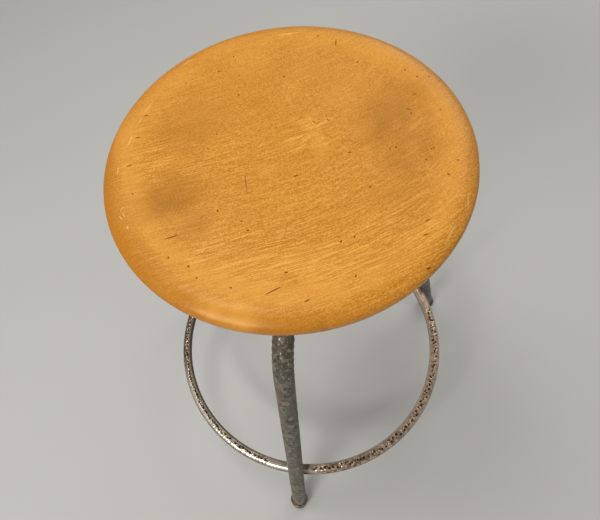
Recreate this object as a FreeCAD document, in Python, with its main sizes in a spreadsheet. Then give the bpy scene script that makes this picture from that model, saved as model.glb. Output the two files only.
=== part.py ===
import FreeCAD, Part
import math
import os
import Sketcher
from FreeCAD import Vector

# Machinist stool: a dished round beech seat on a screw spindle, a hub with three bent tube legs,
# a foot ring welded inside the legs, and a steel cap on each foot.
# Millimetres, +Z up. The origin is on the floor, under the centre of the stool's bounding box.
# The axis of seat, spindle, hub and ring stands a little behind it, because one leg points to -Y.

SIZES = [
    ("seat_diameter", 350, "seat, across"),
    ("seat_widest", 18, "widest point of the seat's edge above the underside"),
    ("edge_small_round", 8, "round at the widest point of the seat's edge"),
    ("edge_small_angle", 50, "degrees that the small round turns"),
    ("edge_large_round", 22, "round from the small one up to the seat's crest"),
    ("crest_round", 70, "round over the crest, towards the dish"),
    ("dish_wall_angle", 8, "steepest slope of the dish, degrees"),
    ("dish_floor_angle", 1.5, "slope where the dish's wall meets its floor, degrees"),
    ("dish_wall_width", 25, "width of the dish's wall"),
    ("plate_diameter", 130, "flange under the seat, across"),
    ("plate_thickness", 5, "flange under the seat, thickness"),
    ("screw_circle", 100, "pitch circle of the seat screws"),
    ("screw_shank", 5, "wood screw, shank diameter"),
    ("screw_depth", 18, "wood screw, length in the wood"),
    ("screw_head", 10, "wood screw, head diameter"),
    ("screw_head_height", 3.5, "wood screw, head height"),
    ("screw_slot", 1.2, "wood screw, slot width"),
    ("screw_slot_depth", 1.5, "wood screw, slot depth"),
    ("spindle_diameter", 30, "screw spindle, outside diameter of its thread"),
    ("spindle_tenon", 20, "spindle's tenon in the flange, diameter"),
    ("spindle_chamfer", 2, "chamfer at the spindle's lower shoulder"),
    ("spindle_neck", 16, "spindle's neck below the shoulder, diameter"),
    ("neck_below_nut", 11, "neck left below the nut, for the split pin"),
    ("spindle_bead", 4, "weld bead under the flange, radius"),
    ("screw_clearance", 0.05, "spindle in its bush, radial clearance"),
    ("washer_diameter", 44, "stop washer, across"),
    ("washer_thickness", 4, "stop washer, thickness"),
    ("washer_clearance", 0.3, "stop washer, clearance all round"),
    ("nut_flats", 24, "nut, across flats"),
    ("nut_height", 13, "nut, height"),
    ("pin_diameter", 4, "split pin, diameter"),
    ("pin_overhang", 5, "split pin, length outside the neck at each end"),
    ("pin_eye", 3.5, "split pin, radius of its eye"),
    ("pin_eye_wire", 1.2, "split pin, radius of the eye's wire"),
    ("travel_up", 120, "how far the seat screws up from rest"),
    ("travel_gap", 1, "gap left between the stop washer and the hub at the top"),
    ("spindle_shown", 56.7, "length of spindle between bush and flange at rest"),
    ("hub_diameter", 46, "hub, outside diameter"),
    ("hub_height", 60, "hub, height, half above and half below the legs' axes"),
    ("hub_chamfer", 1.5, "chamfer on the hub's lower edge"),
    ("bush_diameter", 38, "threaded bush, outside diameter"),
    ("bush_flange", 4, "threaded bush, flange thickness"),
    ("leg_diameter", 24, "leg tube, outside diameter"),
    ("leg_wall", 2, "leg tube, wall"),
    ("leg_foot_radius", 268, "from the stool's axis to a leg's axis at the floor"),
    ("leg_splay", 12.7, "lean of a leg's straight part, degrees from upright"),
    ("leg_bend_height", 464, "height where a leg's bend begins"),
    ("leg_bend_radius", 72, "radius of a leg's bend, at its axis"),
    ("leg_top_rise", 8, "rise of a leg's top run towards the hub, degrees"),
    ("leg_saddle", 4, "depth of the saddle cut where a leg meets the hub"),
    ("leg_bead", 3.5, "weld bead round a leg at the hub, radius"),
    ("ring_height", 120, "foot ring, height of its axis"),
    ("ring_bar", 16.5, "foot ring, diameter of the bar"),
    ("ring_bite", 3.6, "foot ring, depth that it is let into a leg's inner side"),
    ("ring_bead", 3, "weld bead between ring and leg, radius"),
    ("ring_bead_circle", 8.5, "weld bead between ring and leg, radius of its axis"),
    ("cap_wall", 2.3, "foot cap, wall round the tube"),
    ("cap_depth", 12, "foot cap, depth of its socket"),
    ("cap_dome", 16, "foot cap, radius of its domed underside"),
    ("cap_floor", 7, "foot cap, metal under the socket"),
    ("cap_flat", 0.8, "depth that the dome is worn flat on the floor"),
]

SCREW_COUNT = 4
LEG_TURNS = {"front": -90, "rear_right": 30, "rear_left": 150}
FULL_TURN = 360

doc = FreeCAD.newDocument("machinist_stool")
sheet = doc.addObject("Spreadsheet::Sheet", "Sizes")
for row, (alias, size, note) in enumerate(SIZES, 1):
    sheet.set(f"A{row}", note)
    sheet.set(f"B{row}", str(size))
    sheet.setAlias(f"B{row}", alias)
doc.recompute()

parts = []


def size(name):
    """Expression for one cell of the sheet."""
    return f"Sizes.{name}"


def half(name):
    """Expression for half a cell, such as a radius from a diameter."""
    return f"({size(name)} / 2)"


def degrees(name):
    """Expression for one cell of the sheet, as an angle."""
    return f"(Sizes.{name} * 1 deg)"


def number(expression):
    """Present value of an expression, for a sketch's first guess."""
    result = sheet.evalExpression(expression.replace("Sizes.", ""))
    return float(getattr(result, "Value", result))


def keep(feature, turn=0, inner=None):
    """Stand a finished sub-part in its place. Its name is its node's name."""
    feature.Label = feature.Name
    stand(feature, turn, inner)
    doc.recompute()
    parts.append(feature)


def bind(feature, **expressions):
    """Bind properties of a feature. Two underscores stand for a dot."""
    for name, expression in expressions.items():
        feature.setExpression(name.replace("__", "."), expression)
    return feature


def placement(across, up, lean="0 deg"):
    """Expression for a placement in a leg's plane, with its own axis leaning inwards."""
    return f"placement(vector({across}; 0; {up}); rotation(vector(0; 1; 0); -1 * {lean}))"


def stand(feature, turn=0, inner=None):
    """Put a finished sub-part on the stool's axis, turned about it."""
    place = f"placement(vector(0; {AXIS_Y}; 0); rotation(vector(0; 0; 1); {turn} deg))"
    feature.setExpression("Placement", f"{place} * {inner}" if inner else place)


# Helpers for sketched bodies

def new_body(name):
    return doc.addObject("PartDesign::Body", name)


def new_sketch(body, name, plane="XZ_Plane"):
    """Sketch on one of the body's own origin planes."""
    sketch = body.newObject("Sketcher::SketchObject", name)
    for feature in body.Origin.OriginFeatures:
        if feature.Role == plane:
            sketch.AttachmentSupport = [(feature, "")]
    sketch.MapMode = "FlatFace"
    return sketch


def pin_point(sketch, geometry, end, across, up):
    """Tie a point of the sketch to two expressions."""
    for kind, axis, expression in (("DistanceX", -2, across), ("DistanceY", -1, up)):
        value = number(expression)
        if abs(value) < 1e-9:
            sketch.addConstraint(Sketcher.Constraint("PointOnObject", geometry, end, axis))
        else:
            index = sketch.addConstraint(Sketcher.Constraint(kind, -1, 1, geometry, end, value))
            sketch.setExpression(f"Constraints[{index}]", expression)


def hold_radius(sketch, geometry, radius):
    """Tie the radius of a circle or an arc to an expression."""
    index = sketch.addConstraint(Sketcher.Constraint("Radius", geometry, number(radius)))
    sketch.setExpression(f"Constraints[{index}]", radius)


def add_arc(sketch, start, end, radius, side):
    """Add an arc of under a half circle. side is 1 where it bulges to the left of its way.

    Returns its number and the numbers of its first and last point along the way.
    """
    chord = end - start
    left = Vector(-chord.y, chord.x, 0).normalize()
    rise = radius - math.sqrt(radius ** 2 - (chord.Length / 2) ** 2)
    top = (start + end) * 0.5 + left * (side * rise)
    if side > 0:
        return sketch.addGeometry(Part.Arc(end, top, start)), 2, 1
    return sketch.addGeometry(Part.Arc(start, top, end)), 1, 2


def outline(sketch, corners, rounds=None):
    """Closed outline through corners, each a pair of expressions.

    rounds maps a corner's number to (radius, side) where an arc leads to the next corner.
    """
    rounds = rounds or {}
    points = [Vector(number(across), number(up), 0) for across, up in corners]
    ends = []
    for i, start in enumerate(points):
        end = points[(i + 1) % len(points)]
        if i in rounds:
            radius, side = rounds[i]
            ends.append(add_arc(sketch, start, end, number(radius), side))
            hold_radius(sketch, ends[-1][0], radius)
        else:
            index = sketch.addGeometry(Part.LineSegment(start, end))
            ends.append((index, 1, 2))
    for i, (index, first, last) in enumerate(ends):
        after, after_first, _ = ends[(i + 1) % len(ends)]
        sketch.addConstraint(Sketcher.Constraint("Coincident", index, last, after, after_first))
        pin_point(sketch, index, first, *corners[i])


def circle(sketch, across, up, radius):
    """Circle with its centre and radius tied to expressions."""
    centre = Vector(number(across), number(up), 0)
    index = sketch.addGeometry(Part.Circle(centre, Vector(0, 0, 1), number(radius)))
    pin_point(sketch, index, 3, across, up)
    hold_radius(sketch, index, radius)


def revolve(body, sketch, kind="Revolution"):
    feature = body.newObject(f"PartDesign::{kind}", f"{body.Name}_{kind.lower()}")
    feature.Profile = sketch
    feature.ReferenceAxis = (sketch, ["V_Axis"])
    feature.Angle = FULL_TURN
    return feature


def turned(name, corners, rounds=None):
    """Body made by turning a half section about the stool's axis."""
    body = new_body(name)
    sketch = new_sketch(body, f"{name}_section")
    outline(sketch, corners, rounds)
    revolve(body, sketch)
    doc.recompute()
    return body


def polar(body, feature, count, name):
    """Repeat a feature round the stool's axis."""
    pattern = body.newObject("PartDesign::PolarPattern", name)
    pattern.Originals = [feature]
    for origin in body.Origin.OriginFeatures:
        if origin.Role == "Z_Axis":
            pattern.Axis = (origin, [""])
    pattern.Angle = FULL_TURN
    pattern.Occurrences = count
    body.Tip = pattern
    return pattern


def drill_for_screws(body, floor, depth):
    """Holes for the seat's screws, from the height floor up through depth."""
    sketch = new_sketch(body, f"{body.Name}_hole_centre", "XY_Plane")
    bind(sketch, AttachmentOffset__Base__z=floor)
    circle(sketch, half("screw_circle"), "0", half("screw_shank"))
    before = body.Shape.Volume
    pocket = body.newObject("PartDesign::Pocket", f"{body.Name}_hole")
    pocket.Profile = sketch
    pocket.Reversed = True
    bind(pocket, Length=depth)
    doc.recompute()
    if body.Shape.Volume >= before:
        raise RuntimeError(f"{body.Name}: the hole cuts nothing")
    polar(body, pocket, SCREW_COUNT, f"{body.Name}_holes")


# A leg's centre line: its lean, where its bend starts and ends, and where it meets the hub

LEAN = degrees("leg_splay")
RISE = degrees("leg_top_rise")
BEND_X = f"({size('leg_foot_radius')} - tan({LEAN}) * {size('leg_bend_height')})"
BEND_END_X = f"({BEND_X} - {size('leg_bend_radius')} * (cos({LEAN}) - sin({RISE})))"
BEND_END_Z = f"({size('leg_bend_height')} + {size('leg_bend_radius')} * (cos({RISE}) - sin({LEAN})))"
TOP_X = f"({half('hub_diameter')} - {size('leg_saddle')})"
TOP_Z = f"({BEND_END_Z} + ({BEND_END_X} - {TOP_X}) * tan({RISE}))"

# Heights up the hub to the seat, and down the spindle to its end

HUB_BOTTOM = f"({TOP_Z} - {half('hub_height')})"
HUB_TOP = f"({HUB_BOTTOM} + {size('hub_height')})"
BUSH_TOP = f"({HUB_TOP} + {size('bush_flange')})"
PLATE_BOTTOM = f"({BUSH_TOP} + {size('spindle_shown')})"
UNDERSIDE = f"({PLATE_BOTTOM} + {size('plate_thickness')})"
WASHER_TOP = f"({HUB_BOTTOM} - {size('travel_up')} - {size('travel_gap')})"
WASHER_BOTTOM = f"({WASHER_TOP} - {size('washer_thickness')})"
SHOULDER = f"({WASHER_TOP} + {size('washer_clearance')})"
NUT_TOP = f"({WASHER_BOTTOM} - {size('washer_clearance')})"
NUT_BOTTOM = f"({NUT_TOP} - {size('nut_height')})"
SPINDLE_END = f"({NUT_BOTTOM} - {size('neck_below_nut')})"
PIN_HEIGHT = f"({NUT_BOTTOM} - {size('pin_diameter')})"

# A foot cap's own origin is the centre of its dome. The leg's end stands on the cap's floor.

CAP_OUTER = f"({half('leg_diameter')} + {size('cap_wall')})"
CAP_SHOULDER = f"sqrt({size('cap_dome')} ^ 2 - {CAP_OUTER} ^ 2)"
DOME_Z = f"({size('cap_dome')} - {size('cap_flat')})"
DOME_X = f"({size('leg_foot_radius')} - tan({LEAN}) * {DOME_Z})"
LEG_END = f"({size('cap_floor')} - {size('cap_dome')})"
LEG_END_X = f"({DOME_X} - {LEG_END} * sin({LEAN}))"
LEG_END_Z = f"({DOME_Z} + {LEG_END} * cos({LEAN}))"

# The foot ring bites into the inner side of the legs. The bounding box then places the axis.

LEG_AT_RING = f"({size('leg_foot_radius')} - tan({LEAN}) * {size('ring_height')})"
LEG_FACE = f"({LEG_AT_RING} - {half('leg_diameter')} / cos({LEAN}))"
RING_RADIUS = f"({LEG_FACE} - {half('ring_bar')} + {size('ring_bite')})"
FRONT_REACH = f"({DOME_X} + {CAP_SHOULDER} * sin({LEAN}) + {CAP_OUTER} * cos({LEAN}))"
REAR_REACH = f"max({RING_RADIUS} + {half('ring_bar')}; {half('seat_diameter')})"
AXIS_Y = f"(({FRONT_REACH} - {REAR_REACH}) / 2)"


# Seat

def seat_corners():
    """Half section of the seat, from the underside's centre round to the dish's centre."""
    widest = f"({UNDERSIDE} + {size('seat_widest')})"
    small, large, crest = size("edge_small_round"), size("edge_large_round"), size("crest_round")
    turn = degrees("edge_small_angle")
    steep, floor = degrees("dish_wall_angle"), degrees("dish_floor_angle")
    wall_round = f"({size('dish_wall_width')} / (sin({steep}) - sin({floor})))"

    rim = half("seat_diameter")
    shoulder_x = f"({rim} - {small} * (1 - cos({turn})))"
    shoulder_z = f"({widest} + {small} * sin({turn}))"
    crest_x = f"({shoulder_x} - {large} * cos({turn}))"
    crest_z = f"({shoulder_z} + {large} * (1 - sin({turn})))"
    wall_x = f"({crest_x} - {crest} * sin({steep}))"
    wall_z = f"({crest_z} - {crest} * (1 - cos({steep})))"
    floor_x = f"({wall_x} - {size('dish_wall_width')})"
    floor_z = f"({wall_z} - {wall_round} * (cos({floor}) - cos({steep})))"
    floor_round = f"({floor_x} / sin({floor}))"
    centre_z = f"({floor_z} - {floor_round} * (1 - cos({floor})))"

    corners = [
        ("0", UNDERSIDE),
        (f"({rim} - {size('seat_widest')})", UNDERSIDE),
        (rim, widest),
        (shoulder_x, shoulder_z),
        (crest_x, crest_z),
        (wall_x, wall_z),
        (floor_x, floor_z),
        ("0", centre_z),
    ]
    rounds = {
        1: (size("seat_widest"), -1),
        2: (small, -1),
        3: (large, -1),
        4: (crest, -1),
        5: (wall_round, 1),
        6: (floor_round, 1),
    }
    return corners, rounds


def make_seat():
    seat = turned("seat", *seat_corners())
    drill_for_screws(seat, UNDERSIDE, size("screw_depth"))
    keep(seat)


# Flange under the seat, and its screws

def make_seat_plate():
    plate = turned("seat_plate", [
        (half("spindle_tenon"), PLATE_BOTTOM),
        (half("plate_diameter"), PLATE_BOTTOM),
        (half("plate_diameter"), UNDERSIDE),
        (half("spindle_tenon"), UNDERSIDE),
    ])
    drill_for_screws(plate, PLATE_BOTTOM, size("plate_thickness"))
    keep(plate)


def make_screw(number_in_group):
    """Round-headed wood screw, head down under the flange."""
    name = f"screw_{number_in_group}"
    shank = doc.addObject("Part::Cylinder", f"{name}_shank")
    bind(shank, Radius=half("screw_shank"), Height=f"{size('plate_thickness')} + {size('screw_depth')}")
    head = doc.addObject("Part::Cylinder", f"{name}_head")
    bind(head, Radius=half("screw_head"), Height=size("screw_head_height"),
         Placement__Base__z=f"-{size('screw_head_height')}")
    rounded = doc.addObject("Part::Sphere", f"{name}_dome")
    height = size("screw_head_height")
    dome = f"(({half('screw_head')} ^ 2 + {height} ^ 2) / (2 * {height}))"
    bind(rounded, Radius=dome, Placement__Base__z=f"{dome} - {size('screw_head_height')}")
    domed_head = doc.addObject("Part::Common", f"{name}_domed_head")
    domed_head.Base = head
    domed_head.Tool = rounded
    whole = doc.addObject("Part::Fuse", f"{name}_whole")
    whole.Base = shank
    whole.Tool = domed_head
    slot = doc.addObject("Part::Box", f"{name}_slot")
    bind(slot, Length=f"2 * {size('screw_head')}", Width=size("screw_slot"),
         Height=size("screw_slot_depth"), Placement__Base__x=f"-{size('screw_head')}",
         Placement__Base__y=f"-{half('screw_slot')}", Placement__Base__z=f"-{size('screw_head_height')}")
    screw = doc.addObject("Part::Cut", name)
    screw.Base = whole
    screw.Tool = slot
    turn = FULL_TURN * number_in_group / SCREW_COUNT
    bind(screw, Placement__Base__x=f"{half('screw_circle')} * cos({turn} deg)",
         Placement__Base__y=f"{half('screw_circle')} * sin({turn} deg)", Placement__Base__z=PLATE_BOTTOM)
    return screw


def make_seat_screws():
    screws = doc.addObject("Part::Compound", "seat_screws")
    screws.Links = [make_screw(i) for i in range(SCREW_COUNT)]
    keep(screws)


# Spindle, with what hangs on its lower end

def make_spindle():
    spindle = turned("spindle", [
        ("0", SPINDLE_END),
        (half("spindle_neck"), SPINDLE_END),
        (half("spindle_neck"), SHOULDER),
        (f"({half('spindle_diameter')} - {size('spindle_chamfer')})", SHOULDER),
        (half("spindle_diameter"), f"({SHOULDER} + {size('spindle_chamfer')})"),
        (half("spindle_diameter"), PLATE_BOTTOM),
        (half("spindle_tenon"), PLATE_BOTTOM),
        (half("spindle_tenon"), UNDERSIDE),
        ("0", UNDERSIDE),
    ])
    sketch = new_sketch(spindle, "spindle_pin_centre")
    circle(sketch, "0", PIN_HEIGHT, half("pin_diameter"))
    pocket = spindle.newObject("PartDesign::Pocket", "spindle_pin_hole")
    pocket.Profile = sketch
    pocket.Midplane = True
    bind(pocket, Length=size("spindle_diameter"))
    keep(spindle)


def make_spindle_weld():
    """Fillet of weld between the spindle and the flange."""
    inner = half("spindle_diameter")
    outer = f"({inner} + {size('spindle_bead')})"
    low = f"({PLATE_BOTTOM} - {size('spindle_bead')})"
    weld = turned("spindle_weld", [
        (inner, low),
        (outer, PLATE_BOTTOM),
        (inner, PLATE_BOTTOM),
    ], {0: (size("spindle_bead"), -1)})
    keep(weld)


def make_stop_washer():
    bore = f"({half('spindle_neck')} + {size('washer_clearance')})"
    washer = turned("stop_washer", [
        (bore, WASHER_BOTTOM),
        (half("washer_diameter"), WASHER_BOTTOM),
        (half("washer_diameter"), WASHER_TOP),
        (bore, WASHER_TOP),
    ])
    keep(washer)


def make_stop_nut():
    """Hexagon nut on the spindle's neck, with its corners turned off at 30 degrees."""
    nut = new_body("stop_nut")
    sketch = new_sketch(nut, "nut_hexagon", "XY_Plane")
    bind(sketch, AttachmentOffset__Base__z=NUT_BOTTOM)
    across = f"({size('nut_flats')} / cos(30 deg) / 2)"
    corners = [(f"({across} * cos({60 * i} deg))", f"({across} * sin({60 * i} deg))") for i in range(6)]
    outline(sketch, corners)
    circle(sketch, "0", "0", half("spindle_neck"))
    pad = nut.newObject("PartDesign::Pad", "nut_blank")
    pad.Profile = sketch
    bind(pad, Length=size("nut_height"))
    doc.recompute()
    bevel = new_sketch(nut, "nut_bevel_section")
    inner = half("nut_flats")
    width = f"({across} - {inner})"
    outline(bevel, [
        (inner, f"({NUT_BOTTOM} - {width})"),
        (f"({across} + {width})", f"({NUT_BOTTOM} - {width})"),
        (f"({across} + {width})", f"({NUT_BOTTOM} + 2 * {width} * tan(30 deg))"),
        (inner, NUT_BOTTOM),
    ])
    revolve(nut, bevel, "Groove")
    keep(nut)


def make_split_pin():
    """Cross pin below the nut, with an eye at its front end."""
    length = f"({size('spindle_neck')} + 2 * {size('pin_overhang')})"
    shank = doc.addObject("Part::Cylinder", "split_pin_shank")
    bind(shank, Radius=half("pin_diameter"), Height=length,
         Placement=f"placement(vector(0; {length} / 2; {PIN_HEIGHT}); rotation(vector(1; 0; 0); 90 deg))")
    eye = doc.addObject("Part::Torus", "split_pin_eye")
    bind(eye, Radius1=size("pin_eye"), Radius2=size("pin_eye_wire"),
         Placement__Base__y=f"-({length} / 2 + {size('pin_eye')})", Placement__Base__z=PIN_HEIGHT)
    pin = doc.addObject("Part::Fuse", "split_pin")
    pin.Base = shank
    pin.Tool = eye
    keep(pin)


# Hub and its threaded bush

def make_hub():
    chamfer = size("hub_chamfer")
    hub = turned("hub", [
        (half("bush_diameter"), HUB_BOTTOM),
        (f"({half('hub_diameter')} - {chamfer})", HUB_BOTTOM),
        (half("hub_diameter"), f"({HUB_BOTTOM} + {chamfer})"),
        (half("hub_diameter"), HUB_TOP),
        (half("bush_diameter"), HUB_TOP),
    ])
    keep(hub)


def make_bush():
    bore = f"({half('spindle_diameter')} + {size('screw_clearance')})"
    bush = turned("threaded_bush", [
        (bore, HUB_BOTTOM),
        (half("bush_diameter"), HUB_BOTTOM),
        (half("bush_diameter"), HUB_TOP),
        (half("hub_diameter"), HUB_TOP),
        (half("hub_diameter"), BUSH_TOP),
        (bore, BUSH_TOP),
    ])
    keep(bush)


# Legs: a straight lower run, a bend, and a top run into the hub

def draw_leg_path(sketch):
    """Centre line of a leg, from its foot to its saddle on the hub."""
    points = [(LEG_END_X, LEG_END_Z), (BEND_X, size("leg_bend_height")), (BEND_END_X, BEND_END_Z),
              (TOP_X, TOP_Z)]
    spots = [Vector(number(x), number(z), 0) for x, z in points]
    low = sketch.addGeometry(Part.LineSegment(spots[0], spots[1]))
    bend, first, last = add_arc(sketch, spots[1], spots[2], number(size("leg_bend_radius")), -1)
    top = sketch.addGeometry(Part.LineSegment(spots[2], spots[3]))
    sketch.addConstraint(Sketcher.Constraint("Coincident", low, 2, bend, first))
    sketch.addConstraint(Sketcher.Constraint("Coincident", bend, last, top, 1))
    pin_point(sketch, low, 1, *points[0])
    pin_point(sketch, low, 2, *points[1])
    pin_point(sketch, top, 1, *points[2])
    pin_point(sketch, top, 2, *points[3])
    hold_radius(sketch, bend, size("leg_bend_radius"))


def make_leg(name, turn):
    leg = new_body(f"leg_{name}")
    path = new_sketch(leg, f"leg_{name}_path")
    draw_leg_path(path)
    section = new_sketch(leg, f"leg_{name}_section", "XY_Plane")
    section.setExpression("AttachmentOffset", placement(LEG_END_X, LEG_END_Z, LEAN))
    circle(section, "0", "0", half("leg_diameter"))
    circle(section, "0", "0", f"({half('leg_diameter')} - {size('leg_wall')})")
    doc.recompute()
    tube = leg.newObject("PartDesign::AdditivePipe", f"leg_{name}_tube")
    tube.Profile = section
    tube.Spine = path
    doc.recompute()
    saddle = leg.newObject("PartDesign::SubtractiveCylinder", f"leg_{name}_saddle")
    bind(saddle, Radius=half("hub_diameter"), Height=size("hub_height"),
         Placement__Base__z=HUB_BOTTOM)
    keep(leg, turn)


def add_primitive(kind, name, place, **sizes):
    """Part primitive with its sizes and its placement bound."""
    feature = doc.addObject(f"Part::{kind}", name)
    return bind(feature, Placement=place, **sizes)


def cut_by(name, base, tools):
    """Part::Cut of base by each tool in turn. The last one has the name."""
    for i, tool in enumerate(tools, 1):
        step = doc.addObject("Part::Cut", name if i == len(tools) else f"{name}_cut_{i}")
        step.Base = base
        step.Tool = tool
        base = step
    return base


def make_leg_weld(name, turn):
    """Bead round a leg's top, where it meets the hub."""
    weld = f"leg_weld_{name}"
    face = half("hub_diameter")
    height = f"({TOP_Z} - ({face} - {TOP_X}) * tan({RISE}))"
    along = f"(90 deg - {RISE})"
    bead = add_primitive("Torus", f"{weld}_bead", placement(face, height, along),
                         Radius1=half("leg_diameter"), Radius2=size("leg_bead"))
    tube = add_primitive("Cylinder", f"{weld}_tube", placement(BEND_END_X, BEND_END_Z, along),
                         Radius=half("leg_diameter"), Height=BEND_END_X)
    hub = add_primitive("Cylinder", f"{weld}_hub", placement("0", HUB_BOTTOM),
                        Radius=half("hub_diameter"), Height=size("hub_height"))
    keep(cut_by(weld, bead, [tube, hub]), turn)


# Foot ring, saddled to the inside of each leg

def make_foot_ring():
    ring = new_body("foot_ring")
    sketch = new_sketch(ring, "foot_ring_section")
    circle(sketch, RING_RADIUS, size("ring_height"), half("ring_bar"))
    revolve(ring, sketch)
    doc.recompute()
    saddle = ring.newObject("PartDesign::SubtractiveCylinder", "foot_ring_saddle")
    bind(saddle, Radius=half("leg_diameter"), Height=size("leg_bend_height"),
         Placement=placement(LEG_END_X, LEG_END_Z, LEAN))
    doc.recompute()
    polar(ring, saddle, len(LEG_TURNS), "foot_ring_saddles")
    keep(ring, LEG_TURNS["front"])


def make_ring_weld(name, turn):
    """Bead round the place where the ring meets a leg."""
    weld = f"ring_weld_{name}"
    height = size("ring_height")
    bead = add_primitive("Torus", f"{weld}_bead", placement(LEG_FACE, height, "90 deg"),
                         Radius1=size("ring_bead_circle"), Radius2=size("ring_bead"))
    leg = add_primitive("Cylinder", f"{weld}_leg", placement(LEG_END_X, LEG_END_Z, LEAN),
                        Radius=half("leg_diameter"), Height=size("leg_bend_height"))
    ring = add_primitive("Torus", f"{weld}_ring", placement("0", height),
                         Radius1=RING_RADIUS, Radius2=half("ring_bar"))
    keep(cut_by(weld, bead, [leg, ring]), turn)


# Foot caps, each in line with its leg, worn flat where it stands

def make_foot_cap(name, turn):
    """Cap with its own origin at the centre of its domed underside."""
    cap = new_body(f"foot_cap_{name}")
    inner = half("leg_diameter")
    rim = f"({LEG_END} + {size('cap_depth')})"
    sketch = new_sketch(cap, f"foot_cap_{name}_section")
    outline(sketch, [
        ("0", f"(-{size('cap_dome')})"),
        (CAP_OUTER, f"(-{CAP_SHOULDER})"),
        (CAP_OUTER, rim),
        (inner, rim),
        (inner, LEG_END),
        ("0", LEG_END),
    ], {0: (size("cap_dome"), -1)})
    revolve(cap, sketch)
    doc.recompute()
    place = placement(DOME_X, DOME_Z, LEAN)
    corner = f"vector({DOME_X} - {size('cap_dome')}; -{size('cap_dome')}; -{size('cap_dome')})"
    floor = cap.newObject("PartDesign::SubtractiveBox", f"foot_cap_{name}_floor")
    bind(floor, Length=f"2 * {size('cap_dome')}", Width=f"2 * {size('cap_dome')}", Height=size("cap_dome"),
         Placement=f"minvert({place}) * placement({corner}; rotation(vector(0; 0; 1); 0 deg))")
    keep(cap, turn, place)


def make_frame():
    make_hub()
    make_bush()
    make_foot_ring()
    for name, turn in LEG_TURNS.items():
        make_leg(name, turn)
        make_leg_weld(name, turn)
        make_ring_weld(name, turn)
        make_foot_cap(name, turn)


def check_and_export():
    doc.recompute()
    for item in doc.Objects:
        if "Invalid" in item.State or "Error" in item.State:
            raise RuntimeError(f"{item.Label}: {item.State}")
    os.makedirs("parts", exist_ok=True)
    for part in parts:
        shape = part.Shape
        if shape.isNull() or not shape.isValid() or not shape.Solids:
            raise RuntimeError(f"{part.Label}: no sound solid")
        shape.exportStep(f"parts/{part.Label}.step")
        print(f"{part.Label}: {len(shape.Solids)} solid, {shape.Volume:.0f} mm3")


make_seat()
make_seat_plate()
make_seat_screws()
make_spindle()
make_spindle_weld()
make_stop_washer()
make_stop_nut()
make_split_pin()
make_frame()
check_and_export()
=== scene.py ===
import math
import random
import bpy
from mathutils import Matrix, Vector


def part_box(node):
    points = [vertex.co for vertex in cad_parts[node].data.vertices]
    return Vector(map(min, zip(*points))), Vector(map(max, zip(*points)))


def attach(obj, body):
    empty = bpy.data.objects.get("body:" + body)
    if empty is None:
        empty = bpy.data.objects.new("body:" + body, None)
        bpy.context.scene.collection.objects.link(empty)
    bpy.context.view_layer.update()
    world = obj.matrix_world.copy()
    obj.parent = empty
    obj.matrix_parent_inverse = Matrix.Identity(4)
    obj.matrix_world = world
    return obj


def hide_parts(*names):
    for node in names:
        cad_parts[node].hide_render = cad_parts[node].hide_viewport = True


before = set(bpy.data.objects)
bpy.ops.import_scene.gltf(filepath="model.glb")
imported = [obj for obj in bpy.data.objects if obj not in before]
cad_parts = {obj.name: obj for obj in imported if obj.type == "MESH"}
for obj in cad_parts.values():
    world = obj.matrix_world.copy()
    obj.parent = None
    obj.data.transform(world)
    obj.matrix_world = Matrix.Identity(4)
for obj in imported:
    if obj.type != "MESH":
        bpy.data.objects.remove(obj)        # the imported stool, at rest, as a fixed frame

from types import SimpleNamespace

import bmesh
import bpy
from mathutils import Matrix, Vector, noise

bl_info = {
    "name": "Machinist Stool",
    "version": (1, 0, 0),
    "blender": (4, 5, 0),
    "location": "3D View > Sidebar > Stool",
    "description": "Dresses the packed frame of a machinist's stool",
    "category": "Object",
}

MM = 0.001
FULL_TURN = math.tau
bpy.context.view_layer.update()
SEAT_LOW, SEAT_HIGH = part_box("seat")
PLATE_LOW, PLATE_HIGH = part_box("seat_plate")
SPINDLE_LOW, SPINDLE_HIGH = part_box("spindle")
HUB_LOW, HUB_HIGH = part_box("hub")
BUSH_LOW, BUSH_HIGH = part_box("threaded_bush")
WASHER_LOW, WASHER_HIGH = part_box("stop_washer")
RING_LOW, RING_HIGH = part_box("foot_ring")
HUB_RADIUS = (HUB_HIGH.x - HUB_LOW.x) / 2
RING_HEIGHT = (RING_LOW.z + RING_HIGH.z) / 2
AXIS = Vector(((SEAT_LOW.x + SEAT_HIGH.x) / 2, (SEAT_LOW.y + SEAT_HIGH.y) / 2, 0))
LEGS = {"front": -90, "rear_right": 30, "rear_left": 150}

# What each point of the foot ring holds: how worn, notched and burnt it is, where painted shade falls on its
# underside and edges (under), and how far it is rubbed bright with a painted highlight (rubbed)

RING_LAYERS = ("worn", "notch", "burnt", "under", "rubbed")

# Lamps, each with its way from the lit point, its distance and its size

LIT_POINT = Vector((0, 0, 0.5))
LAMPS = {
    "key": ((-1.30, -1.96, 1.61), 2.85, 0.8),
    "fill": ((-0.31, 0.16, 0.93), 2.2, 0.8),
    "front": ((-0.25, -0.75, 0.60), 2.85, 0.5),
    "back": ((0.50, 1.00, 0.75), 2.6, 1.8),
}

# Camera, fitted to the seat, the foot ring and the legs in the photograph

CAMERA_AT = (0.0602, -0.2830, 1.0356)
CAMERA_WAY = Vector((-0.3320, 0.9433, 0))
CAMERA_PITCH = math.radians(61.81)
CAMERA_ROLL = math.radians(-14.71)
CAMERA_SHIFT = 0.0642

# Marks on the seat's top, in millimetres from its middle, with the front leg towards -Y

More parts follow.
